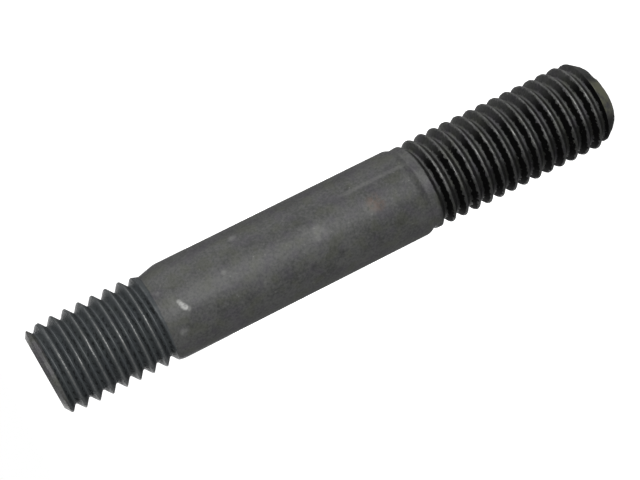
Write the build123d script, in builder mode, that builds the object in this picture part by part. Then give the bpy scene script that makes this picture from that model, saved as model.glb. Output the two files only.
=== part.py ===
"""Double ended stud with an M10 x 1.5 thread at each end, in millimetres.

It stands on the end of its long nut thread, with its axis on Z and its short tap thread up.
The plain body is a little wider than the threads. Both threads are right-handed helical grooves that
run out on the necks beside the body, and the tap end is cropped a little off square.
"""

import os
from math import ceil, radians, sin, tan

from build123d import *

# lengths along the axis
overall_length = 65.4
nut_thread_length = 23.7  # from the nut end to the body
tap_thread_length = 14.0  # from the tap end to the body

# diameters
thread_diameter = 9.8
body_diameter = 9.88
neck_diameter = 9.3  # the reduced ring between each thread and the body

# thread form
pitch = 1.5
flank_angle = 75.0
crest_flat = pitch / 12
root_flat = pitch / 10

# from each end to where its groove's centre line first crosses the +X side
nut_groove_offset = 0.94
tap_groove_offset = 2.46

# necks and run-outs
nut_shoulder_length = 0.6
tap_shoulder_length = 1.2
nut_fade_length = 2.7  # the crests sink to the neck over this stretch
tap_fade_length = 1.2
nut_full_length = 22.15  # from the nut end to where the groove's root starts to rise
tap_full_length = 12.15  # the same from the tap end
nut_run_out_length = 1.1  # the root rises out of the bar over this stretch
tap_run_out_length = 1.6

# nut end: a flat face with a steep edge break and a longer chamfer behind it
nut_face_diameter = 6.8
nut_break_diameter = 8.0
nut_break_length = 0.6
nut_chamfer_length = 1.85

# tap end: low first crests, a face cropped off square and a narrow chamfer round it
tap_tip_diameter = 9.0
tap_rise_length = 2.4  # the first crests rise to full height over this stretch
tap_face_diameter = 7.9
tap_crop_angle = 4.0
tap_crop_azimuth = -39.0  # the side where the cropped face stands highest
tap_chamfer_angle = 32.0  # off the cropped face

end_allowance = 3 * pitch  # bar left past each end until the ends are cut
clearance = 0.1  # how far a cutter or a filling reaches past the surface that it meets

thread_radius = thread_diameter / 2
body_radius = body_diameter / 2
neck_radius = neck_diameter / 2
nut_face_radius = nut_face_diameter / 2
nut_break_radius = nut_break_diameter / 2
tap_tip_radius = tap_tip_diameter / 2
tap_face_radius = tap_face_diameter / 2
run_out_radius = thread_radius + clearance
fill_radius = max(thread_radius, body_radius) + 2 * clearance
cut_radius = fill_radius + clearance

flank_slope = tan(radians(flank_angle / 2))
thread_depth = (pitch - crest_flat - root_flat) / 2 / flank_slope
root_radius = thread_radius - thread_depth

nut_neck = nut_thread_length - nut_shoulder_length
nut_run_out_end = nut_full_length + nut_run_out_length
tap_shoulder = overall_length - tap_thread_length
tap_neck = tap_shoulder + tap_shoulder_length
tap_run_out_start = overall_length - tap_full_length
tap_run_out_end = tap_run_out_start - tap_run_out_length
bar_bottom = -end_allowance
bar_top = overall_length + end_allowance


def at_radius(radius, near, far):
    """The point at a radius on the straight line through two (radius, height) points."""
    share = (radius - near[0]) / (far[0] - near[0])
    return (radius, near[1] + share * (far[1] - near[1]))


def thread_groove(start, turns):
    """A thread's helical groove, as a solid to cut from the bar.

    Its centre line leaves the +X side at the height start and climbs a number of whole turns.
    """
    mouth_half = (pitch - crest_flat) / 2 + clearance * flank_slope
    turn_starts = [start + turn * pitch for turn in range(turns)]
    path = Wire([Edge.make_helix(pitch, pitch, thread_radius, (0, 0, z)) for z in turn_starts])
    with BuildPart() as groove:
        with BuildSketch(Plane(path @ 0, x_dir=(1, 0, 0), z_dir=path % 0)):
            Polygon(
                (-thread_depth, -root_flat / 2),
                (clearance, -mouth_half),
                (clearance, mouth_half),
                (-thread_depth, root_flat / 2),
                align=None,
            )
        sweep(path=path, is_frenet=True)
    return groove.part


nut_groove_start = nut_groove_offset - 2 * pitch
nut_turns = ceil((nut_run_out_end - nut_groove_start) / pitch)
nut_groove = thread_groove(nut_groove_start, nut_turns)

tap_groove_end = overall_length - tap_groove_offset + 2 * pitch
tap_turns = ceil((tap_groove_end - tap_run_out_end) / pitch)
tap_groove = thread_groove(tap_groove_end - tap_turns * pitch, tap_turns)

with BuildPart() as stud:
    # the bar, too long at both ends, with both grooves
    with BuildSketch(Plane.XY.offset(bar_bottom)):
        Circle(thread_radius)
    extrude(amount=bar_top - bar_bottom)
    add(nut_groove, mode=Mode.SUBTRACT)
    add(tap_groove, mode=Mode.SUBTRACT)

    # the metal left standing in the grooves between the two run-outs
    nut_run_out = ((root_radius, nut_full_length), (thread_radius, nut_run_out_end))
    tap_run_out = ((root_radius, tap_run_out_start), (thread_radius, tap_run_out_end))
    nut_fill_corner = at_radius(run_out_radius, *nut_run_out)
    tap_fill_corner = at_radius(run_out_radius, *tap_run_out)
    with BuildSketch(Plane.XZ):
        with BuildLine():
            Polyline(
                (0, nut_full_length - clearance),
                at_radius(root_radius - clearance, *nut_run_out),
                nut_fill_corner,
                (fill_radius, nut_fill_corner[1]),
                (fill_radius, tap_fill_corner[1]),
                tap_fill_corner,
                at_radius(root_radius - clearance, *tap_run_out),
                (0, tap_run_out_start + clearance),
                close=True,
            )
        make_face()
    revolve(axis=Axis.Z)

    # the necks and the body
    nut_full = (thread_radius, nut_neck - nut_fade_length)
    tap_full = (thread_radius, tap_neck + tap_fade_length)
    with BuildSketch(Plane.XZ):
        with BuildLine():
            Polyline(
                at_radius(cut_radius, (neck_radius, nut_neck), nut_full),
                (neck_radius, nut_neck),
                (body_radius, nut_thread_length),
                (body_radius, tap_shoulder),
                (neck_radius, tap_neck),
                at_radius(cut_radius, (neck_radius, tap_neck), tap_full),
                close=True,
            )
        make_face()
    revolve(axis=Axis.Z, mode=Mode.SUBTRACT)

    # the nut end
    nut_break = (nut_break_radius, nut_break_length)
    nut_chamfer_end = at_radius(cut_radius, nut_break, (thread_radius, nut_chamfer_length))
    with BuildSketch(Plane.XZ):
        with BuildLine():
            Polyline(
                (0, 0),
                (nut_face_radius, 0),
                nut_break,
                nut_chamfer_end,
                (cut_radius, bar_bottom - clearance),
                (0, bar_bottom - clearance),
                close=True,
            )
        make_face()
    revolve(axis=Axis.Z, mode=Mode.SUBTRACT)

    # the low first crests at the tap end
    tap_tip = (tap_tip_radius, overall_length)
    with BuildSketch(Plane.XZ):
        with BuildLine():
            Polyline(
                at_radius(cut_radius, tap_tip, (thread_radius, overall_length - tap_rise_length)),
                tap_tip,
                (tap_tip_radius, bar_top + clearance),
                (cut_radius, bar_top + clearance),
                close=True,
            )
        make_face()
    revolve(axis=Axis.Z, mode=Mode.SUBTRACT)

    # the tap end, cut square to the cropped face, whose high side is at the full length
    crop_centre = overall_length - tap_face_radius * sin(radians(tap_crop_angle))
    tap_face = Plane((0, 0, crop_centre)).rotated((0, 0, tap_crop_azimuth))
    tap_face = tap_face.rotated((0, -tap_crop_angle, 0))
    chamfer_drop = (cut_radius - tap_face_radius) * tan(radians(tap_chamfer_angle))
    with BuildSketch(Plane(tap_face.origin, tap_face.x_dir, -tap_face.y_dir)):
        with BuildLine():
            Polyline(
                (0, 0),
                (tap_face_radius, 0),
                (cut_radius, -chamfer_drop),
                (cut_radius, 2 * end_allowance),
                (0, 2 * end_allowance),
                close=True,
            )
        make_face()
    revolve(axis=Axis(tap_face.origin, tap_face.z_dir), mode=Mode.SUBTRACT)
stud.part.label = "stud"

os.makedirs("parts", exist_ok=True)
export_step(stud.part, "parts/stud.step")
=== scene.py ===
"""Double ended stud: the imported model's stud dressed with full thread form and a phosphate coat."""

import math

import bmesh
import bpy
from bpy.props import FloatProperty, FloatVectorProperty, IntProperty, PointerProperty
from mathutils import Euler, Matrix, Vector, noise


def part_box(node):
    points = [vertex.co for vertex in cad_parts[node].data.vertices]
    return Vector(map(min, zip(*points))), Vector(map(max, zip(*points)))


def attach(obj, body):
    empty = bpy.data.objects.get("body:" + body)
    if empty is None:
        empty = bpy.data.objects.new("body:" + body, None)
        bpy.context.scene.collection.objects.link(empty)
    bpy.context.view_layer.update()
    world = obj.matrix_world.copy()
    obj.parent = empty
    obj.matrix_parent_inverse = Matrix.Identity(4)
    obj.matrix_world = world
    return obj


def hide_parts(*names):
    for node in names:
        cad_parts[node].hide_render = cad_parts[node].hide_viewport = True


bl_info = {
    "name": "Double Ended Stud",
    "version": (1, 0, 0),
    "blender": (4, 5, 0),
    "location": "View3D > Sidebar > Stud",
    "description": "Builds a double ended stud with rounded threads and a dark phosphate coat",
    "category": "Add Mesh",
}

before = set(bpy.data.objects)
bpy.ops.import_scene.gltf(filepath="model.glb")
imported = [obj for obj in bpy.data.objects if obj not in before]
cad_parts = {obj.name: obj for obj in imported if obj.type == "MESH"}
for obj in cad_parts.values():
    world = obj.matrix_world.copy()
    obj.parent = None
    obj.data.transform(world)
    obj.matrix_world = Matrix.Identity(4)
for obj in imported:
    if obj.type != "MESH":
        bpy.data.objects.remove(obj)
CAD_LOW, CAD_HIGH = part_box("stud")
OVERALL_LENGTH = CAD_HIGH.z - CAD_LOW.z
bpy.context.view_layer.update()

MM = 0.001


def length(name, description, default):
    """A size in metres that shows in the scene's length unit."""
    return FloatProperty(
        name=name, description=description, default=default, unit="LENGTH", subtype="DISTANCE", precision=5
    )


def point(name, description, default):
    """A place in metres."""
    return FloatVectorProperty(
        name=name, description=description, default=default, unit="LENGTH", subtype="TRANSLATION", size=3
    )


def degrees(name, description, default):
    """An angle, given in degrees."""
    return FloatProperty(name=name, description=description, default=math.radians(default), subtype="ANGLE")


def watts(name, description, default):
    """The power of a light."""
    return FloatProperty(name=name, description=description, default=default, unit="POWER")


def colour(name, description, default):
    """A plain colour."""
    return FloatVectorProperty(
        name=name, description=description, default=default, subtype="COLOR", size=3, min=0.0, max=1.0
    )


def amount(name, description, default):
    """A plain number."""
    return FloatProperty(name=name, description=description, default=default)


def count(name, description, default, lowest):
    """A whole number that is not less than the lowest."""
    return IntProperty(name=name, description=description, default=default, min=lowest)


# ---------------------------------------------------------------- sizes and colours


class StudThreadSizes(bpy.types.PropertyGroup):
    """The form that both threads share."""

    pitch: length("Pitch", "Rise of the thread in one turn", 1.5 * MM)
    bar_radius: length("Crest radius", "Radius of the crests", 4.9 * MM)
    depth: length("Depth", "Height of the thread from root to crest", 0.80 * MM)
    flank_angle: degrees("Flank angle", "Angle between the two flanks", 75)
    crest_flat: length("Crest flat", "Width of the crest between the flanks", 0.125 * MM)
    crest_rounding: length("Crest rounding", "How far the crest's edges are worn round", 0.05 * MM)
    root_rounding: length("Root rounding", "How far the root's corners are filled round", 0.06 * MM)
    wear: length("Crest wear", "Depth of the small nicks in the crests", 0.07 * MM)
    wear_grain: length("Crest wear grain", "Rough distance between the nicks", 0.5 * MM)
    nut_offset: length("Nut offset", "First groove's height on the +X side, from the nut end", 0.94 * MM)
    tap_offset: length("Tap offset", "First groove's distance on the +X side, from the tap end", 2.46 * MM)


class StudBodySizes(bpy.types.PropertyGroup):
    """The plain body, the necks beside it and the run-outs of both threads."""

    nut_length: length("Nut thread", "From the nut end to the body's corner", 23.72 * MM)
    tap_length: length("Tap thread", "From the tap end to the body's corner", 14.0 * MM)
    body_radius: length("Body radius", "Radius of the plain body", 4.94 * MM)
    nut_neck_radius: length("Nut neck", "Radius of the ring between the nut thread and the body", 4.69 * MM)
    tap_neck_radius: length("Tap neck", "Radius of the ring between the tap thread and the body", 4.65 * MM)
    nut_corner_slant: length("Nut corner slant", "How much higher the corner is on +X than midway", 0.27 * MM)
    tap_neck_offset: length("Tap neck offset", "How far the tap neck is off centre, away from +X", 0.17 * MM)
    corner_rounding: length("Corner rounding", "How far the body's corners are worn round", 0.08 * MM)
    nut_shoulder: length("Nut shoulder", "From the body's corner to the nut thread's neck", 0.6 * MM)
    tap_shoulder: length("Tap shoulder", "From the body's corner to the tap thread's neck", 1.2 * MM)
    nut_fade: length("Nut crest fade", "Stretch where the nut thread's crests sink to the neck", 2.7 * MM)
    tap_fade: length("Tap crest fade", "Stretch where the tap thread's crests sink to the neck", 1.2 * MM)
    nut_full: length("Nut full depth", "From the nut end to where the root starts to rise", 22.15 * MM)
    tap_full: length("Tap full depth", "From the tap end to where the root starts to rise", 12.15 * MM)
    nut_run_out: length("Nut run-out", "Stretch over which the root rises out of the bar", 1.1 * MM)
    tap_run_out: length("Tap run-out", "Stretch over which the root rises out of the bar", 1.25 * MM)


class StudEndSizes(bpy.types.PropertyGroup):
    """The chamfered nut end and the cropped tap end."""

    nut_face_radius: length("Nut face", "Radius of the nut end's flat face", 3.4 * MM)
    nut_break_radius: length("Nut break", "Radius where the edge break meets the chamfer", 4.0 * MM)
    nut_break_length: length("Nut break length", "Height of the edge break", 0.6 * MM)
    nut_chamfer_length: length("Nut chamfer", "Height of the whole chamfered end", 1.85 * MM)
    nut_chamfer_lean: length("Nut chamfer lean", "How much longer the chamfer is on +X than on -X", 0.26 * MM)
    nut_face_split: length("Nut face split", "Where the face starts to slope up, on the -X side", 1.2 * MM)
    nut_face_slope: degrees("Nut face slope", "Slope of the nut face's +X part", 7.5)
    nick_depth: length("Nick depth", "Depth of the nick in the nut face's rim", 0.35 * MM)
    nick_height: length("Nick height", "Height of the nick in the nut face's rim", 0.9 * MM)
    nick_azimuth: degrees("Nick azimuth", "Side on which the nick lies", -53)
    nick_width: degrees("Nick width", "Angle that half of the nick takes up", 10)
    tap_face_radius: length("Tap face", "Radius of the tap end's face", 3.95 * MM)
    tap_tip_radius: length("Tap tip", "Radius of the crests at the tap end", 4.5 * MM)
    tap_rise: length("Tap rise", "Stretch over which the first crests reach full height", 2.4 * MM)
    crop_angle: degrees("Crop angle", "How far the tap face is off square", 4)
    crop_azimuth: degrees("Crop azimuth", "Side on which the tap face stands highest", -39)
    chamfer_angle: degrees("Tap chamfer angle", "Angle of the chamfer off the tap face", 32)


class StudMeshDetail(bpy.types.PropertyGroup):
    """How finely the surface is divided and which of its edges stay sharp."""

    columns: count("Columns", "Divisions round the stud", 160, 24)
    rows_per_pitch: count("Rows per pitch", "Divisions across a thread", 20, 8)
    body_rows: count("Body rows", "Divisions along the plain body", 40, 4)
    sharp_angle: degrees("Sharp angle", "Edges that turn by more than this stay sharp", 38)


class StudCoat(bpy.types.PropertyGroup):
    """The colours and finish of the dark phosphate coat, and the near-black colour of the painted shade in
    the threads.
    """

    coat: colour("Coat", "Main grey of the coat", (0.042, 0.043, 0.042))
    pale: colour("Pale coat", "Lighter patches of the coat", (0.100, 0.101, 0.098))
    cool: colour("Cool coat", "Bluish grey of the coat on the tap thread", (0.055, 0.064, 0.069))
    olive: colour("Olive tint", "Faint olive clouds in the coat", (0.078, 0.084, 0.052))
    violet: colour("Violet tint", "Faint violet clouds in the coat", (0.066, 0.056, 0.080))
    warm: colour("Warm coat", "Olive grey of the coat round the nut end's edge", (0.150, 0.150, 0.095))
    # painted shade: the near-black laid on the threads' flanks and root; it is also laid on the nut chamfer
    # and used for the dark smudges
    groove: colour("Groove", "Dark deposit on the flanks", (0.002, 0.002, 0.002))
    bare: colour("Bare steel", "Steel that shows where the coat is rubbed through", (0.30, 0.30, 0.29))
    polished: colour("Polished steel", "Steel in the few spots that are rubbed bright", (0.62, 0.62, 0.60))
    rust: colour("Rust", "Faint rust tint on the body near the nut thread", (0.13, 0.065, 0.040))
    roughness: amount("Roughness", "Roughness of the coat", 0.46)
    sheen: amount("Sheen", "Strength of the coat's reflections", 0.45)
    grain: amount("Grain", "Strength of the coat's fine grain", 0.55)
    grain_depth: length("Grain depth", "Depth of the coat's fine grain at full strength", 0.03 * MM)
    # roughness and reflections of the painted shade, which is also laid on the nut chamfer
    groove_roughness: amount("Groove roughness", "Roughness of the dark deposit", 0.7)
    groove_sheen: amount("Groove sheen", "Strength of the dark deposit's reflections", 0.06)


class StudWear(bpy.types.PropertyGroup):
    """How strongly each kind of tint, wear, dirt and painted shade shows, from 0 to 1."""

    tint: amount("Tints", "Olive and violet clouds", 0.28)
    cool: amount("Cool tap thread", "Bluish grey on the tap thread", 0.8)
    warm: amount("Warm edge", "Olive grey round the nut end's edge", 0.85)
    rust: amount("Rust", "Rust tint on the body near the nut thread", 0.45)
    light: amount("Light marks", "Light smudges and the streak on the body", 0.4)
    streak: amount("Streak", "The streak's strength beside the smudges", 0.4)
    dull: amount("Dark marks", "Dark smudges on the body", 0.45)
    worn: amount("Worn crests", "Rubbing of the crests", 0.5)
    specks: amount("Specks", "Small bare places all over", 0.7)
    # painted shade in the threads: its strength on the flanks, in the root and over the nut thread's -X side
    nut_flank_shading: amount("Nut flanks", "Deposit on the nut thread's flanks", 0.72)
    tap_flank_shading: amount("Tap flanks", "Even deposit on the tap thread's flanks", 0.30)
    tap_patchy_shading: amount("Tap crumbs", "Patchy deposit on the tap thread's flanks", 0.38)
    side_shade: amount("Soot", "Deposit on the whole of the nut thread's -X side", 0.5)
    roots: amount("Nut roots", "Deposit in the nut thread's roots", 0.15)
    side_shaded_roots: amount("Sooty nut roots", "More deposit in the nut thread's roots on the -X side", 0.6)
    chamfer: amount("Nut chamfer", "Deposit on the nut chamfer", 0.75)
    warm_clearing: amount("Warm clearing", "How much less deposit the warm edge has", 0.58)
    # less painted shade on the +X side, where the top light falls: painted light
    lit_side_clearing: amount("Side clearing", "How much less deposit the +X side has", 0.55)


class StudStage(bpy.types.PropertyGroup):
    """The floor, the light and the camera."""

    floor: colour("Floor", "Colour of the floor", (0.9, 0.9, 0.9))
    floor_size: length("Floor size", "Side of the square floor", 6.0)
    floor_glow: amount("Floor glow", "Strength of the light that the floor gives off", 1.15)
    surround: amount("Surround", "Strength of the even light from all round", 0.30)
    light_size: length("Light size", "Side of the square front and back lights", 250 * MM)
    front_power: watts("Front light", "Power of the light near the camera", 0.84)
    front_place: point("Front light place", "Middle of the front light", (38 * MM, -290 * MM, 45 * MM))
    back_power: watts("Back light", "Power of the light behind the stud", 0.32)
    back_place: point("Back light place", "Middle of the back light", (-20 * MM, 270 * MM, 130 * MM))
    top_power: watts("Top light", "Power of the soft light on the +X side", 0.30)
    top_place: point("Top light place", "Middle of the top light", (320 * MM, -50 * MM, 60 * MM))
    top_size: length("Top light size", "Side of the square top light", 260 * MM)
    camera_distance: length("Camera distance", "From the stud's axis", 172.8 * MM)
    camera_side: length("Camera side", "How far the camera stands to the +X side", 0.08 * MM)
    camera_height: length("Camera height", "Above the nut end", 72.85 * MM)
    camera_tilt: degrees("Tilt", "How far the camera looks down", 12.64)
    camera_pan: degrees("Pan", "How far the camera turns to its left", 0.155)
    camera_roll: degrees("Roll", "How far the camera is rolled", -116.6)
    camera_lens: FloatProperty(name="Lens", description="Focal length", default=96.8, unit="CAMERA")


# ---------------------------------------------------------------- shader maths


# the Mix node's sockets for colours, which share their names with its other sockets
MIX_SHARE = 0
MIX_FIRST = 6
MIX_SECOND = 7
MIX_RESULT = 2

# the share of a spot's radius inside which it is at full strength
SPOT_CORE = 0.35


class Value:
    """A node socket that can be used in plain expressions."""

    def __init__(self, nodes, socket):
        self.nodes = nodes
        self.socket = socket

    def _math(self, operation, *values):
        return self.nodes.add("ShaderNodeMath", {"operation": operation}, values)

    def __add__(self, other):
        return self._math("ADD", self, other)

    __radd__ = __add__

    def __sub__(self, other):
        return self._math("SUBTRACT", self, other)

    def __rsub__(self, other):
        return self._math("SUBTRACT", other, self)

    def __mul__(self, other):
        return self._math("MULTIPLY", self, other)

    __rmul__ = __mul__

    def __truediv__(self, other):
        return self._math("DIVIDE", self, other)

    def __abs__(self):
        return self._math("ABSOLUTE", self)

    def root(self):
        """The square root."""
        return self._math("SQRT", self)

    def remainder(self):
        """What is left beyond the nearest whole number, from -0.5 to 0.5."""
        return self._math("FRACT", self + 0.5) - 0.5

    def angle_to(self, other):
        """The angle of the point that has this value across and the other one up, from -pi to pi."""
        return self._math("ARCTAN2", other, self)

    def largest(self, other):
        """The larger of the two values."""
        return self._math("MAXIMUM", self, other)

    def step(self, low, high):
        """A soft step from 0 at low to 1 at high."""
        return self.nodes.add(
            "ShaderNodeMapRange", {"interpolation_type": "SMOOTHSTEP"},
            {"Value": self, "From Min": low, "From Max": high},
        )

    def window(self, low, high, soft):
        """1 between low and high, fading out over soft on both sides."""
        return self.step(low - soft, low) * (1 - self.step(high, high + soft))


class Nodes:
    """A node tree and the one method that adds nodes to it."""

    def __init__(self, tree):
        self.tree = tree
        tree.nodes.clear()

    def add(self, kind, settings=None, sockets=None, output=0):
        """Adds a node, sets it up, fills its sockets and returns one output as a Value."""
        node = self.tree.nodes.new(kind)
        for name, value in (settings or {}).items():
            setattr(node, name, value)
        pairs = sockets.items() if isinstance(sockets, dict) else enumerate(sockets or ())
        for name, value in pairs:
            socket = node.inputs[name]
            if isinstance(value, Value):
                self.tree.links.new(value.socket, socket)
            else:
                socket.default_value = value
        return Value(self, node.outputs[output]) if len(node.outputs) else None

    def mix(self, share, first, second):
        """A colour that goes from first to second as share goes from 0 to 1."""
        first, second = (item if isinstance(item, Value) else (*item, 1.0) for item in (first, second))
        sockets = {MIX_SHARE: share, MIX_FIRST: first, MIX_SECOND: second}
        return self.add("ShaderNodeMix", {"data_type": "RGBA"}, sockets, output=MIX_RESULT)

    def split(self, vector):
        """The three parts of a vector."""
        parts = self.add("ShaderNodeSeparateXYZ", {}, [vector])
        return [Value(self, socket) for socket in parts.socket.node.outputs]

    def noise(self, place, scale, detail, roughness):
        """Cloudy noise from 0 to 1."""
        sockets = {"Vector": place, "Scale": scale, "Detail": detail, "Roughness": roughness}
        return self.add("ShaderNodeTexNoise", {}, sockets)

    def near(self, place, centre, radius):
        """1 at a point, fading out to 0 at a radius from it."""
        apart = self.add("ShaderNodeVectorMath", {"operation": "DISTANCE"}, [place, centre], output="Value")
        return 1 - apart.step(radius * SPOT_CORE, radius)


# ---------------------------------------------------------------- the stud's surface


# how many shoulder lengths from its corners the plain body changes to the threads' spiral rows
NUT_JOIN = 2.0
TAP_JOIN = 1.5

# turns of spiral rows made beyond what a thread takes up, and how many of them lie below it
SPARE_TURNS = 3
TURNS_BELOW = 1.5

# how near to a cutting plane a vertex counts as lying in it, while cutting and while closing
CUT_TOLERANCE = 0.0001 * MM
RIM_TOLERANCE = 0.001 * MM


def soft_min(a, b, rounding):
    """The smaller of two heights, with the corner between them rounded."""
    overlap = max(rounding - abs(a - b), 0.0) / rounding
    return min(a, b) - overlap * overlap * rounding / 4


def soft_max(a, b, rounding):
    """The larger of two heights, with the corner between them rounded."""
    return -soft_min(-a, -b, rounding)


def along(points, at):
    """The value at a place on the straight runs through (place, value) points."""
    for (near, low), (far, high) in zip(points, points[1:]):
        if at <= far:
            share = max(at - near, 0.0) / (far - near)
            return low + share * (high - low)
    return points[-1][1]


class StudSurface:
    """The stud's radius at any height and angle, in metres and radians."""

    def __init__(self, thread, body, ends):
        self.thread = thread
        self.body = body
        self.ends = ends
        self.flank = 1 / math.tan(thread.flank_angle / 2)
        self.bar_radius = thread.bar_radius
        self.tap_corner = OVERALL_LENGTH - body.tap_length
        self.tap_neck = self.tap_corner + body.tap_shoulder
        self.nut_neck = body.nut_length - body.nut_shoulder
        self.nut_join = body.nut_length + NUT_JOIN * body.nut_shoulder
        self.tap_join = self.tap_corner - TAP_JOIN * body.tap_shoulder
        self.face_rise = ends.tap_face_radius * math.sin(ends.crop_angle)
        self.face_centre = OVERALL_LENGTH - self.face_rise

    def groove(self, height, turns, first, lift_start, lift_end):
        """The radius of a thread's groove, which lifts out of the bar towards lift_end."""
        thread = self.thread
        nearest = round((height - first) / thread.pitch - turns)
        centre = first + (turns + nearest) * thread.pitch
        aside = abs(height - centre)
        root_half = (thread.pitch - thread.crest_flat) / 2 - thread.depth / self.flank
        bottom = self.bar_radius - thread.depth
        wall = bottom + (aside - root_half) * self.flank
        lift = (centre - lift_start) / (lift_end - lift_start)
        return soft_max(bottom, wall, thread.root_rounding) + max(lift, 0.0) * thread.depth

    def beside_neck(self, past, neck, fade, slope):
        """The radius at a distance past a neck: positive in the thread and negative in the body."""
        body = self.body
        if past > 0:
            return min(neck + (self.bar_radius - neck) * past / fade, self.bar_radius)
        return soft_min(neck - past * slope, body.body_radius, body.corner_rounding)

    def turned(self, height, angle):
        """The radius of the turned form that the grooves are cut in."""
        body = self.body
        ends = self.ends
        if height < OVERALL_LENGTH / 2:
            neck = body.nut_neck_radius
            slope = (body.body_radius - neck) / body.nut_shoulder
            past = self.nut_neck + body.nut_corner_slant * math.cos(angle) - height
            form = self.beside_neck(past, neck, body.nut_fade, slope)
            lean = ends.nut_chamfer_lean / 2 * math.cos(angle)
            points = (
                (lean - ends.nut_break_length, 2 * ends.nut_face_radius - ends.nut_break_radius),
                (lean + ends.nut_break_length, ends.nut_break_radius),
                (lean + ends.nut_chamfer_length, self.bar_radius),
                (self.nut_neck, body.body_radius),
            )
        else:
            slope = (body.body_radius - body.tap_neck_radius) / body.tap_shoulder
            neck = body.tap_neck_radius - body.tap_neck_offset * math.cos(angle)
            form = self.beside_neck(height - self.tap_neck, neck, body.tap_fade, slope)
            points = (
                (self.tap_neck, body.body_radius),
                (OVERALL_LENGTH - ends.tap_rise, self.bar_radius),
                (OVERALL_LENGTH, ends.tap_tip_radius),
            )
        return min(form, along(points, height))

    def chamfer(self, height, angle):
        """The radius of the chamfer that follows the cropped tap face."""
        ends = self.ends
        slope = math.tan(ends.chamfer_angle)
        lean = math.sin(ends.crop_angle) * math.cos(angle - ends.crop_azimuth)
        below = math.cos(ends.crop_angle) * (self.face_centre - height)
        return (ends.tap_face_radius + below / slope) / (1 - lean / slope)

    def radius(self, height, angle):
        """The stud's radius, threads and all."""
        thread = self.thread
        body = self.body
        turns = angle / math.tau
        form = min(self.turned(height, angle), self.chamfer(height, angle))
        if height < OVERALL_LENGTH / 2:
            end = body.nut_full + body.nut_run_out
            cut = self.groove(height, turns, thread.nut_offset, body.nut_full, end)
        else:
            first = OVERALL_LENGTH - thread.tap_offset
            start = OVERALL_LENGTH - body.tap_full
            cut = self.groove(height, turns, first, start, start - body.tap_run_out)
        form -= self.crest_wear(form, height, angle)
        return soft_min(form, cut, thread.crest_rounding) - self.nick(height, angle)

    def crest_wear(self, form, height, angle):
        """How deep the crests are nicked at a place. The body and the necks stay whole."""
        thread = self.thread
        if self.nut_neck < height < self.tap_neck:
            return 0.0
        place = Vector((form * math.cos(angle), form * math.sin(angle), height)) / thread.wear_grain
        return thread.wear * max(noise.noise(place), 0.0)

    def nick(self, height, angle):
        """How deep the nick in the nut face's rim is at a place."""
        ends = self.ends
        aside = math.remainder(angle - ends.nick_azimuth, math.tau) / ends.nick_width
        above = max(height, 0.0) / ends.nick_height
        return ends.nick_depth * max(1 - aside * aside, 0.0) * max(1 - above, 0.0)


def point_at(surface, height, angle):
    """The point of the surface at a height and an angle."""
    radius = surface.radius(height, angle)
    return Vector((radius * math.cos(angle), radius * math.sin(angle), height))


def add_rings(mesh, surface, detail, low, high):
    """Adds the body's surface with level rows, and returns its lowest and highest ring."""
    grid = []
    for row in range(detail.body_rows + 1):
        height = low + (high - low) * row / detail.body_rows
        line = []
        for column in range(detail.columns):
            line.append(mesh.verts.new(point_at(surface, height, math.tau * column / detail.columns)))
        grid.append(line)
    link_rows(mesh, grid, 0)
    return grid[0], grid[-1]


def add_spiral(mesh, surface, detail, low, high, ring):
    """Adds a surface whose rows follow the thread. Rows that would pass into the body end in its ring."""
    pitch = surface.thread.pitch
    rows = math.ceil((high - low) / pitch + SPARE_TURNS) * detail.rows_per_pitch
    start = low - pitch * TURNS_BELOW
    border = ring[0].co.z
    body_above = border > (low + high) / 2
    grid = []
    for row in range(rows):
        line = []
        for column in range(detail.columns):
            share = column / detail.columns
            height = start + (row / detail.rows_per_pitch + share) * pitch
            if (height > border) == body_above:
                line.append(ring[column])
            else:
                line.append(mesh.verts.new(point_at(surface, height, share * math.tau)))
        grid.append(line)
    link_rows(mesh, grid, detail.rows_per_pitch)


def link_rows(mesh, grid, step):
    """Fills a grid with faces. After each turn the surface carries on step rows higher."""
    columns = len(grid[0])
    for row in range(len(grid) - 1 - step):
        for column in range(columns):
            turn, after = divmod(column + 1, columns)
            lower = row + turn * step
            corners = (grid[row][column], grid[lower][after], grid[lower + 1][after], grid[row + 1][column])
            corners = tuple(dict.fromkeys(corners))
            if len(corners) > 2:
                mesh.faces.new(corners)


def cut_end(mesh, place, normal):
    """Cuts off what lies beyond a plane and closes the end with a fan of faces."""
    place = Vector(place)
    bmesh.ops.bisect_plane(
        mesh, geom=[*mesh.verts, *mesh.edges, *mesh.faces], dist=CUT_TOLERANCE,
        plane_co=place, plane_no=normal, clear_outer=True,
    )
    rim = []
    for edge in mesh.edges:
        apart = max(abs((vert.co - place).dot(normal)) for vert in edge.verts)
        if edge.is_boundary and apart < RIM_TOLERANCE:
            rim.append(edge)
    middle = sum((vert.co for edge in rim for vert in edge.verts), Vector()) / (2 * len(rim))
    centre = mesh.verts.new(middle)
    for edge in rim:
        mesh.faces.new((*edge.verts, centre))


def stud_mesh(surface, detail):
    """The whole stud as one closed mesh, with threads, body, chamfers and both end faces."""
    ends = surface.ends
    mesh = bmesh.new()
    nut_ring, tap_ring = add_rings(mesh, surface, detail, surface.nut_join, surface.tap_join)
    add_spiral(mesh, surface, detail, 0.0, surface.nut_join, nut_ring)
    add_spiral(mesh, surface, detail, surface.tap_join, OVERALL_LENGTH, tap_ring)

    slope = ends.nut_face_slope
    cut_end(mesh, (-ends.nut_face_split, 0, 0), Vector((math.sin(slope), 0, -math.cos(slope))))
    cut_end(mesh, (0, 0, 0), Vector((0, 0, -1)))
    lean = Euler((0.0, -ends.crop_angle, ends.crop_azimuth)).to_matrix()
    cut_end(mesh, (0, 0, surface.face_centre), lean @ Vector((0, 0, 1)))

    bmesh.ops.recalc_face_normals(mesh, faces=mesh.faces)
    made = bpy.data.meshes.new("threaded_stud")
    mesh.to_mesh(made)
    mesh.free()
    return made


# ---------------------------------------------------------------- the coat


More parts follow.
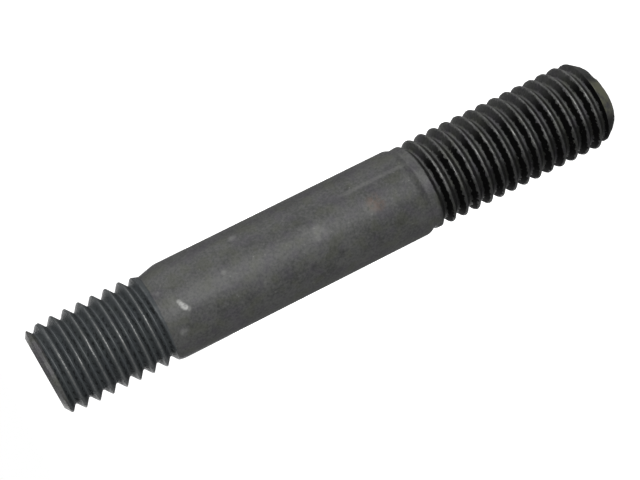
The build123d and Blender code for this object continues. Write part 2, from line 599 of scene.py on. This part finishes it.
# noises in the coat: scale, detail and roughness
CLOUDS = (420, 4.0, 0.6)
PATCHES = (110, 3.0, 0.55)
GRAIN = (3800, 2.0, 0.6)
SCUFFS = (900, 5.0, 0.7)
CRUMBLE = (2300, 3.0, 0.6)
TINTS = (600, 2.0, 0.5)

# where the threads count as threads: margins from their ends, and the softness of those borders
NUT_ZONE_START = 1.5 * MM
NUT_ZONE_FADE = 0.4 * MM
TAP_ZONE_END = 1.0 * MM
TAP_ZONE_FADE = 0.12 * MM
RUN_OUT_MARGIN = 0.15 * MM

# across a groove, in shares of the pitch from its root: the bands of painted shade on the flanks, and how far
# their edges wander
NUT_FLANK_SHADE = (0.13, 0.37, 0.06)
TAP_FLANK_SHADE = (0.19, 0.31, 0.07)
RAGGEDNESS = 0.36
# in the same shares: where the painted shade on the lower flank ends, where the painted shade in the root
# ends and where the crest starts
LOWER_FLANK_SHADE = (-0.12, 0.0)
ROOT_SHADE = (0.10, 0.20)
CREST = (0.41, 0.46)
# how far under the crest radius the rubbing starts, and where it is full
RUB_START = 0.20 * MM
RUB_FULL = 0.04 * MM

# sides of the stud, as shares of the radius towards +X: the -X side with painted shade, the +X side where the
# top light falls, which gets less painted shade as painted light, and the less rubbed side
SHADED_SIDE = (-0.78, -0.50, 0.25)
LIT_SIDE = (0.30, 0.90)
LESS_RUBBED_SIDE = (0.15, 0.70)
# how much less the crests are rubbed there, and how much less bare steel they show on the -X side of each
# thread, as painted shade
LESS_RUBBED = 0.65
SHADED_NUT_CRESTS = 0.9
SHADED_TAP_CRESTS = 0.4
# how far past the middle the front side fades out
FRONT_FADE = 1.0 * MM

# the nut chamfer: distance from its cone, and the heights where it and the edge break end
CHAMFER_EDGE = (-0.12 * MM, -0.04 * MM)
CHAMFER_TOP = (1.7 * MM, 1.9 * MM)
BREAK_TOP = (0.6 * MM, 0.7 * MM)
# the part of the chamfer with the warm tone, towards +X
WARM_PART = (-1.6 * MM, 1.2 * MM, 1.2 * MM)

# the streak on the body: its place towards +X and its height
STREAK_SIDE = (2.6 * MM, 2.75 * MM, 0.2 * MM)
STREAK_HEIGHT = (24 * MM, 30.5 * MM, 1.2 * MM)

# how far the rust reaches from the body's nut corner, and how it fades out
RUST_BELOW = 1.0 * MM
RUST_ABOVE = 3.0 * MM
RUST_FADE = 2.0 * MM

# levels of a noise between which each feature appears
MOTTLE_LEVELS = (0.42, 0.80)
TINT_LEVELS = (0.52, 0.66)
WARM_LEVELS = (0.38, 0.58)
RUST_PATCH_LEVELS = (0.60, 0.72)
RUST_LEVELS = (0.42, 0.58)
LIGHT_LEVELS = (0.40, 0.60)
DULL_LEVELS = (0.38, 0.60)
POLISH_LEVELS = (0.30, 0.50)
WORN_LEVELS = (0.36, 0.58)
SPECK_GRAIN_LEVELS = (0.68, 0.75)
SPECK_SCUFF_LEVELS = (0.50, 0.60)
CRUMB_LEVELS = (0.45, 0.60)

# shares of clouds, patches and grain in the mottle, of scuffs and grain in the rubbing,
# and of grain and clouds in the relief
MOTTLE_SHARES = (0.38, 0.25, 0.6)
WORN_SHARES = (0.6, 0.4)
RELIEF_SHARES = (0.6, 0.4)

# changes in roughness: spread with the clouds, loss where worn and loss where polished
ROUGHNESS_SPREAD = 0.25
WORN_SMOOTHING = 0.2
POLISH_SMOOTHING = 0.1

# marks on the body's front: place towards +X, height and radius in mm, and strength
RUST_SPOT = (0.5, 28.3, 1.3, 1.0)
POLISHED_SPOTS = (
    (0.42, 50.66, 0.32, 0.24), (0.16, 50.58, 0.34, 0.34), (-0.14, 50.45, 0.40, 0.45),
    (-0.38, 50.30, 0.40, 0.45), (-0.62, 50.05, 0.34, 0.16),
)
LIGHT_SMUDGES = (
    (2.3, 52.1, 0.6, 0.8), (-2.5, 51.4, 0.6, 0.7), (1.0, 45.4, 0.4, 0.7), (3.7, 42.8, 0.6, 0.7),
    (-1.9, 42.0, 0.5, 0.5), (0.3, 35.0, 1.3, 0.5), (1.1, 36.4, 0.9, 0.5), (0.2, 29.0, 1.0, 0.4),
)
DARK_SMUDGES = (
    (-2.7, 36.6, 0.8, 0.8), (2.7, 44.1, 0.9, 0.5), (3.2, 30.2, 0.7, 0.6), (-2.3, 26.6, 1.1, 0.6),
    (-2.9, 31.4, 1.2, 0.6), (-2.6, 33.6, 0.7, 0.7), (0.1, 28.0, 0.5, 0.5), (-2.4, 44.0, 1.1, 0.4),
)


def on_front(side, height, radius):
    """The point on the -Y side of a round bar that lies at a place towards +X and a height, both in mm."""
    x = side * MM
    return (x, -math.sqrt(radius * radius - x * x), height * MM)


class CoatPattern:
    """Where the coat's noises, threads, wear, dirt and painted shade lie, as shader values from 0 to 1."""

    def __init__(self, nodes, surface, wear):
        self.nodes = nodes
        self.surface = surface
        self.wear = wear
        self.place = nodes.add("ShaderNodeTexCoord", output="Object")
        self.x, self.y, self.z = nodes.split(self.place)
        self.across = (self.x * self.x + self.y * self.y).root()
        self.side = self.x / self.across
        self.turns = self.x.angle_to(self.y) / math.tau
        self.front = 1 - self.y.step(0, FRONT_FADE)

        self.clouds = nodes.noise(self.place, *CLOUDS)
        self.patches = nodes.noise(self.place, *PATCHES)
        self.grain = nodes.noise(self.place, *GRAIN)
        self.scuffs = nodes.noise(self.place, *SCUFFS)
        self.crumble = nodes.noise(self.place, *CRUMBLE)
        self.tints = nodes.noise(self.place, *TINTS)

        body = surface.body
        self.nut_zone = self.z.window(NUT_ZONE_START, body.nut_full - RUN_OUT_MARGIN, NUT_ZONE_FADE)
        self.tap_zone = self.z.window(
            surface.tap_neck + RUN_OUT_MARGIN, OVERALL_LENGTH - TAP_ZONE_END, TAP_ZONE_FADE
        )
        self.nut_phase = self.phase(surface.thread.nut_offset)
        self.tap_phase = self.phase(OVERALL_LENGTH - surface.thread.tap_offset)
        # the -X side, away from the top light, which gets painted shade
        self.shaded_side = self.side.window(*SHADED_SIDE)
        self.chamfer = self.nut_chamfer()
        self.warm = self.chamfer * self.x.window(*WARM_PART) * self.front
        bared = self.grain.step(*SPECK_GRAIN_LEVELS) * self.scuffs.step(*SPECK_SCUFF_LEVELS)
        self.specks = bared * wear.specks
        self.worn = self.worn_crests()

    def phase(self, first):
        """How far above its groove's root a point lies, in pitches: -0.5 or 0.5 at a crest."""
        return ((self.z - first) / self.surface.thread.pitch - self.turns).remainder()

    def nut_chamfer(self):
        """The nut end's chamfer and the edge break below it."""
        ends = self.surface.ends
        lean = self.side * (ends.nut_chamfer_lean / 2)
        run = ends.nut_chamfer_length - ends.nut_break_length
        rise = (self.surface.bar_radius - ends.nut_break_radius) / run
        turned = (self.z - lean - ends.nut_break_length) * rise + ends.nut_break_radius
        cone = (self.across - turned).step(*CHAMFER_EDGE) * (1 - self.z.step(*CHAMFER_TOP))
        return cone.largest(1 - self.z.step(*BREAK_TOP))

    def worn_crests(self):
        """The crests that are rubbed bright, with less bare steel on the -X side as painted shade."""
        bar_radius = self.surface.bar_radius
        # the crests on the -X side show less bare steel: painted shade on that side
        nut = abs(self.nut_phase).step(*CREST) * self.nut_zone * (1 - self.shaded_side * SHADED_NUT_CRESTS)
        tap = abs(self.tap_phase).step(*CREST) * self.tap_zone * (1 - self.shaded_side * SHADED_TAP_CRESTS)
        crest = nut.largest(tap) * self.across.step(bar_radius - RUB_START, bar_radius - RUB_FULL)
        crest = crest * (1 - self.side.step(*LESS_RUBBED_SIDE) * LESS_RUBBED)
        rubbed = self.scuffs * WORN_SHARES[0] + self.grain * WORN_SHARES[1]
        return crest * rubbed.step(*WORN_LEVELS) * self.wear.worn

    def marks(self, spots):
        """The strongest of several spots on the body. Each has a side, a height, a radius and a strength."""
        found = 0.0
        for side, height, size, strength in spots:
            centre = on_front(side, height, self.surface.body.body_radius)
            found = (self.nodes.near(self.place, centre, size * MM) * strength).largest(found)
        return found

    def light_marks(self):
        """Light smudges and the streak along the body."""
        streak = self.x.window(*STREAK_SIDE) * self.z.window(*STREAK_HEIGHT) * self.front
        smudges = self.marks(LIGHT_SMUDGES) * self.scuffs.step(*LIGHT_LEVELS)
        return smudges.largest(streak * self.wear.streak)

    def rust(self):
        """Patches of rust on the body near the nut thread, and one spot of it."""
        corner = self.surface.body.nut_length
        near_corner = self.z.window(corner - RUST_BELOW, corner + RUST_ABOVE, RUST_FADE)
        patches = self.patches.step(*RUST_PATCH_LEVELS) * near_corner
        return patches.largest(self.marks([RUST_SPOT])) * self.scuffs.step(*RUST_LEVELS)

    def painted_shade_and_chamfer_cover(self):
        """How far the near-black cover lies over the coat: painted shade in the threads, less of it on the +X
        side as painted light, and a dark layer on the nut chamfer.
        """
        wear = self.wear
        ragged = (self.crumble - 0.5) * RAGGEDNESS
        # painted shade: near-black bands on the nut and tap threads' flanks, with ragged edges
        nut_shade_band = (abs(self.nut_phase) + ragged).window(*NUT_FLANK_SHADE) * self.nut_zone
        tap_shade_band = (abs(self.tap_phase) + ragged).window(*TAP_FLANK_SHADE) * self.tap_zone
        tap_shade_strength = wear.tap_flank_shading + self.crumble.step(*CRUMB_LEVELS) * wear.tap_patchy_shading
        # painted shade on the lower flank of each nut groove
        lower = (1 - self.nut_phase.step(*LOWER_FLANK_SHADE)) * nut_shade_band
        # painted shade in the nut thread's root, stronger on the -X side
        root = (1 - abs(self.nut_phase).step(*ROOT_SHADE)) * self.nut_zone
        root = root * (self.shaded_side * wear.side_shaded_roots + wear.roots)
        # painted shade over the nut thread's -X side
        side_shade = self.shaded_side * self.nut_zone * wear.side_shade
        threads = (nut_shade_band * wear.nut_flank_shading).largest(tap_shade_band * tap_shade_strength)
        threads = threads.largest(lower).largest(root).largest(side_shade) * (1 - self.chamfer)
        end = self.chamfer * (wear.chamfer - self.warm * wear.warm_clearing)
        # less painted shade on the +X side, where the top light falls: painted light
        less_shade_on_lit_side = 1 - self.side.step(*LIT_SIDE) * wear.lit_side_clearing
        return threads.largest(end) * (1 - self.specks) * less_shade_on_lit_side


def coat_tone(pattern, coat, polish):
    """The colour of the coat, with its tints, marks and bare steel."""
    nodes = pattern.nodes
    wear = pattern.wear
    scuffs = pattern.scuffs
    for_clouds, for_patches, for_grain = MOTTLE_SHARES
    mottle = pattern.clouds * for_clouds + pattern.patches * for_patches + pattern.grain * for_grain
    tone = nodes.mix(mottle.step(*MOTTLE_LEVELS), coat.coat, coat.pale)
    tone = nodes.mix(pattern.tints.step(*TINT_LEVELS) * wear.tint, tone, coat.olive)
    tone = nodes.mix((1 - pattern.tints).step(*TINT_LEVELS) * wear.tint, tone, coat.violet)
    tone = nodes.mix(pattern.tap_zone * wear.cool, tone, coat.cool)
    tone = nodes.mix(pattern.warm * scuffs.step(*WARM_LEVELS) * wear.warm, tone, coat.warm)
    tone = nodes.mix(pattern.rust() * wear.rust, tone, coat.rust)
    tone = nodes.mix(pattern.light_marks() * wear.light, tone, coat.bare)
    tone = nodes.mix(pattern.marks(DARK_SMUDGES) * scuffs.step(*DULL_LEVELS) * wear.dull, tone, coat.groove)
    tone = nodes.mix(pattern.worn.largest(pattern.specks), tone, coat.bare)
    return nodes.mix(polish, tone, coat.polished)


def coat_material(coat, wear, surface):
    """Dark phosphated steel: mottled coat, near-black painted shade on the flanks, rubbed crests and a few
    bare specks.
    """
    material = bpy.data.materials.new("phosphated_steel")
    material.use_nodes = True
    nodes = Nodes(material.node_tree)
    pattern = CoatPattern(nodes, surface, wear)
    polish = pattern.marks(POLISHED_SPOTS) * pattern.scuffs.step(*POLISH_LEVELS)

    bare = pattern.worn.largest(pattern.specks).largest(polish)
    relief = pattern.grain * RELIEF_SHARES[0] + pattern.clouds * RELIEF_SHARES[1]
    bump = nodes.add(
        "ShaderNodeBump", {}, {"Strength": coat.grain, "Distance": coat.grain_depth, "Height": relief}
    )
    roughness = coat.roughness + (pattern.clouds - 0.5) * ROUGHNESS_SPREAD
    roughness = roughness - pattern.worn * WORN_SMOOTHING - polish * POLISH_SMOOTHING
    coated = nodes.add(
        "ShaderNodeBsdfPrincipled", {},
        {
            "Base Color": coat_tone(pattern, coat, polish), "Metallic": bare, "Roughness": roughness,
            "Normal": bump, "Specular IOR Level": coat.sheen,
        },
    )
    # the near-black shader of the painted shade in the threads, also laid on the nut chamfer
    covering = nodes.add(
        "ShaderNodeBsdfPrincipled", {},
        {
            "Base Color": (*coat.groove, 1.0), "Roughness": coat.groove_roughness, "Normal": bump,
            "Specular IOR Level": coat.groove_sheen,
        },
    )
    shader = nodes.add("ShaderNodeMixShader", {}, [pattern.painted_shade_and_chamfer_cover(), coated, covering])
    nodes.add("ShaderNodeOutputMaterial", {}, {"Surface": shader})
    return material


class STUD_OT_threaded_stud(bpy.types.Operator):
    """Build the stud with rounded threads and its coat"""

    bl_idname = "stud.threaded_stud"
    bl_label = "Threaded Stud"

    def execute(self, context):
        scene = context.scene
        surface = StudSurface(scene.stud_thread, scene.stud_body, scene.stud_ends)
        mesh = stud_mesh(surface, scene.stud_detail)
        mesh.materials.append(coat_material(scene.stud_coat, scene.stud_wear, surface))
        stud = bpy.data.objects.new("threaded_stud", mesh)
        scene.collection.objects.link(stud)
        mesh.shade_smooth()
        mesh.set_sharp_from_angle(angle=scene.stud_detail.sharp_angle)
        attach(stud, "root")
        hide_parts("stud")
        return {"FINISHED"}


# ---------------------------------------------------------------- stage


SENSOR_WIDTH_MM = 36.0
CLIP_START = 10 * MM
WHITE = (1.0, 1.0, 1.0, 1.0)


def area_light(scene, name, place, size, power):
    """Adds a square soft light that faces the middle of the stud."""
    data = bpy.data.lights.new(name, "AREA")
    data.size = size
    data.energy = power
    light = bpy.data.objects.new(name, data)
    light.location = place
    aim = Vector((0.0, 0.0, OVERALL_LENGTH / 2)) - Vector(place)
    light.rotation_euler = aim.to_track_quat("-Z", "Y").to_euler()
    scene.collection.objects.link(light)


def add_floor(scene, stage):
    """Adds the plain pale floor."""
    half = stage.floor_size / 2
    corners = [(-half, -half, 0), (half, -half, 0), (half, half, 0), (-half, half, 0)]
    mesh = bpy.data.meshes.new("floor")
    mesh.from_pydata(corners, [], [(0, 1, 2, 3)])
    material = bpy.data.materials.new("pale_floor")
    material.use_nodes = True
    nodes = Nodes(material.node_tree)
    matt = nodes.add("ShaderNodeBsdfDiffuse", {}, {"Color": (*stage.floor, 1.0)})
    glow = nodes.add("ShaderNodeEmission", {}, {"Color": (*stage.floor, 1.0), "Strength": stage.floor_glow})
    both = nodes.add("ShaderNodeAddShader", {}, [matt, glow])
    nodes.add("ShaderNodeOutputMaterial", {}, {"Surface": both})
    mesh.materials.append(material)
    floor = bpy.data.objects.new("floor", mesh)
    floor.visible_diffuse = False
    floor.visible_glossy = False
    scene.collection.objects.link(floor)


def add_surround(scene, stage):
    """Sets the white surround, seen as white and felt as weaker, even light."""
    world = bpy.data.worlds.new("surround")
    world.use_nodes = True
    nodes = Nodes(world.node_tree)
    seen = nodes.add("ShaderNodeLightPath", output="Is Camera Ray")
    white = nodes.add("ShaderNodeBackground", {}, {"Color": WHITE, "Strength": 1.0})
    soft = nodes.add("ShaderNodeBackground", {}, {"Color": WHITE, "Strength": stage.surround})
    both = nodes.add("ShaderNodeMixShader", {}, [seen, soft, white])
    nodes.add("ShaderNodeOutputWorld", {}, {"Surface": both})
    scene.world = world


def add_camera(scene, stage):
    """Adds the camera, which looks along +Y and down, rolled so that the stud lies across the frame."""
    data = bpy.data.cameras.new("camera")
    data.sensor_width = SENSOR_WIDTH_MM
    data.lens = stage.camera_lens
    data.clip_start = CLIP_START
    camera = bpy.data.objects.new("camera", data)
    turn = Euler((math.pi / 2 - stage.camera_tilt, 0.0, stage.camera_pan)).to_matrix()
    roll = Matrix.Rotation(stage.camera_roll, 3, "Z")
    camera.location = (stage.camera_side, -stage.camera_distance, stage.camera_height)
    camera.rotation_euler = (turn @ roll).to_euler()
    scene.collection.objects.link(camera)
    scene.camera = camera


class STUD_OT_stage(bpy.types.Operator):
    """Lay the floor and set up the light and the camera"""

    bl_idname = "stud.stage"
    bl_label = "Stage"

    def execute(self, context):
        scene = context.scene
        stage = scene.stud_stage
        add_floor(scene, stage)
        add_surround(scene, stage)
        area_light(scene, "front_light", stage.front_place, stage.light_size, stage.front_power)
        area_light(scene, "top_light", stage.top_place, stage.top_size, stage.top_power)
        area_light(scene, "back_light", stage.back_place, stage.light_size, stage.back_power)
        add_camera(scene, stage)
        scene.view_settings.view_transform = "Standard"
        return {"FINISHED"}


class STUD_PT_panel(bpy.types.Panel):
    """Lists the stud's sizes and the steps that build it"""

    bl_idname = "STUD_PT_panel"
    bl_label = "Double Ended Stud"
    bl_space_type = "VIEW_3D"
    bl_region_type = "UI"
    bl_category = "Stud"

    def draw(self, context):
        for name in GROUPS:
            box = self.layout.box()
            group = getattr(context.scene, name)
            for prop in group.bl_rna.properties:
                if prop.identifier not in {"name", "rna_type"}:
                    box.prop(group, prop.identifier)
        self.layout.operator(STUD_OT_threaded_stud.bl_idname)
        self.layout.operator(STUD_OT_stage.bl_idname)


GROUPS = {
    "stud_thread": StudThreadSizes,
    "stud_body": StudBodySizes,
    "stud_ends": StudEndSizes,
    "stud_detail": StudMeshDetail,
    "stud_coat": StudCoat,
    "stud_wear": StudWear,
    "stud_stage": StudStage,
}
CLASSES = (*GROUPS.values(), STUD_OT_threaded_stud, STUD_OT_stage, STUD_PT_panel)


def register():
    for item in CLASSES:
        bpy.utils.register_class(item)
    for name, group in GROUPS.items():
        setattr(bpy.types.Scene, name, PointerProperty(type=group))


def unregister():
    for name in GROUPS:
        delattr(bpy.types.Scene, name)
    for item in reversed(CLASSES):
        bpy.utils.unregister_class(item)


def main():
    """Registers the add-on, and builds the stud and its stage."""
    register()
    bpy.ops.stud.threaded_stud()
    bpy.ops.stud.stage()


if __name__ == "__main__":
    main()
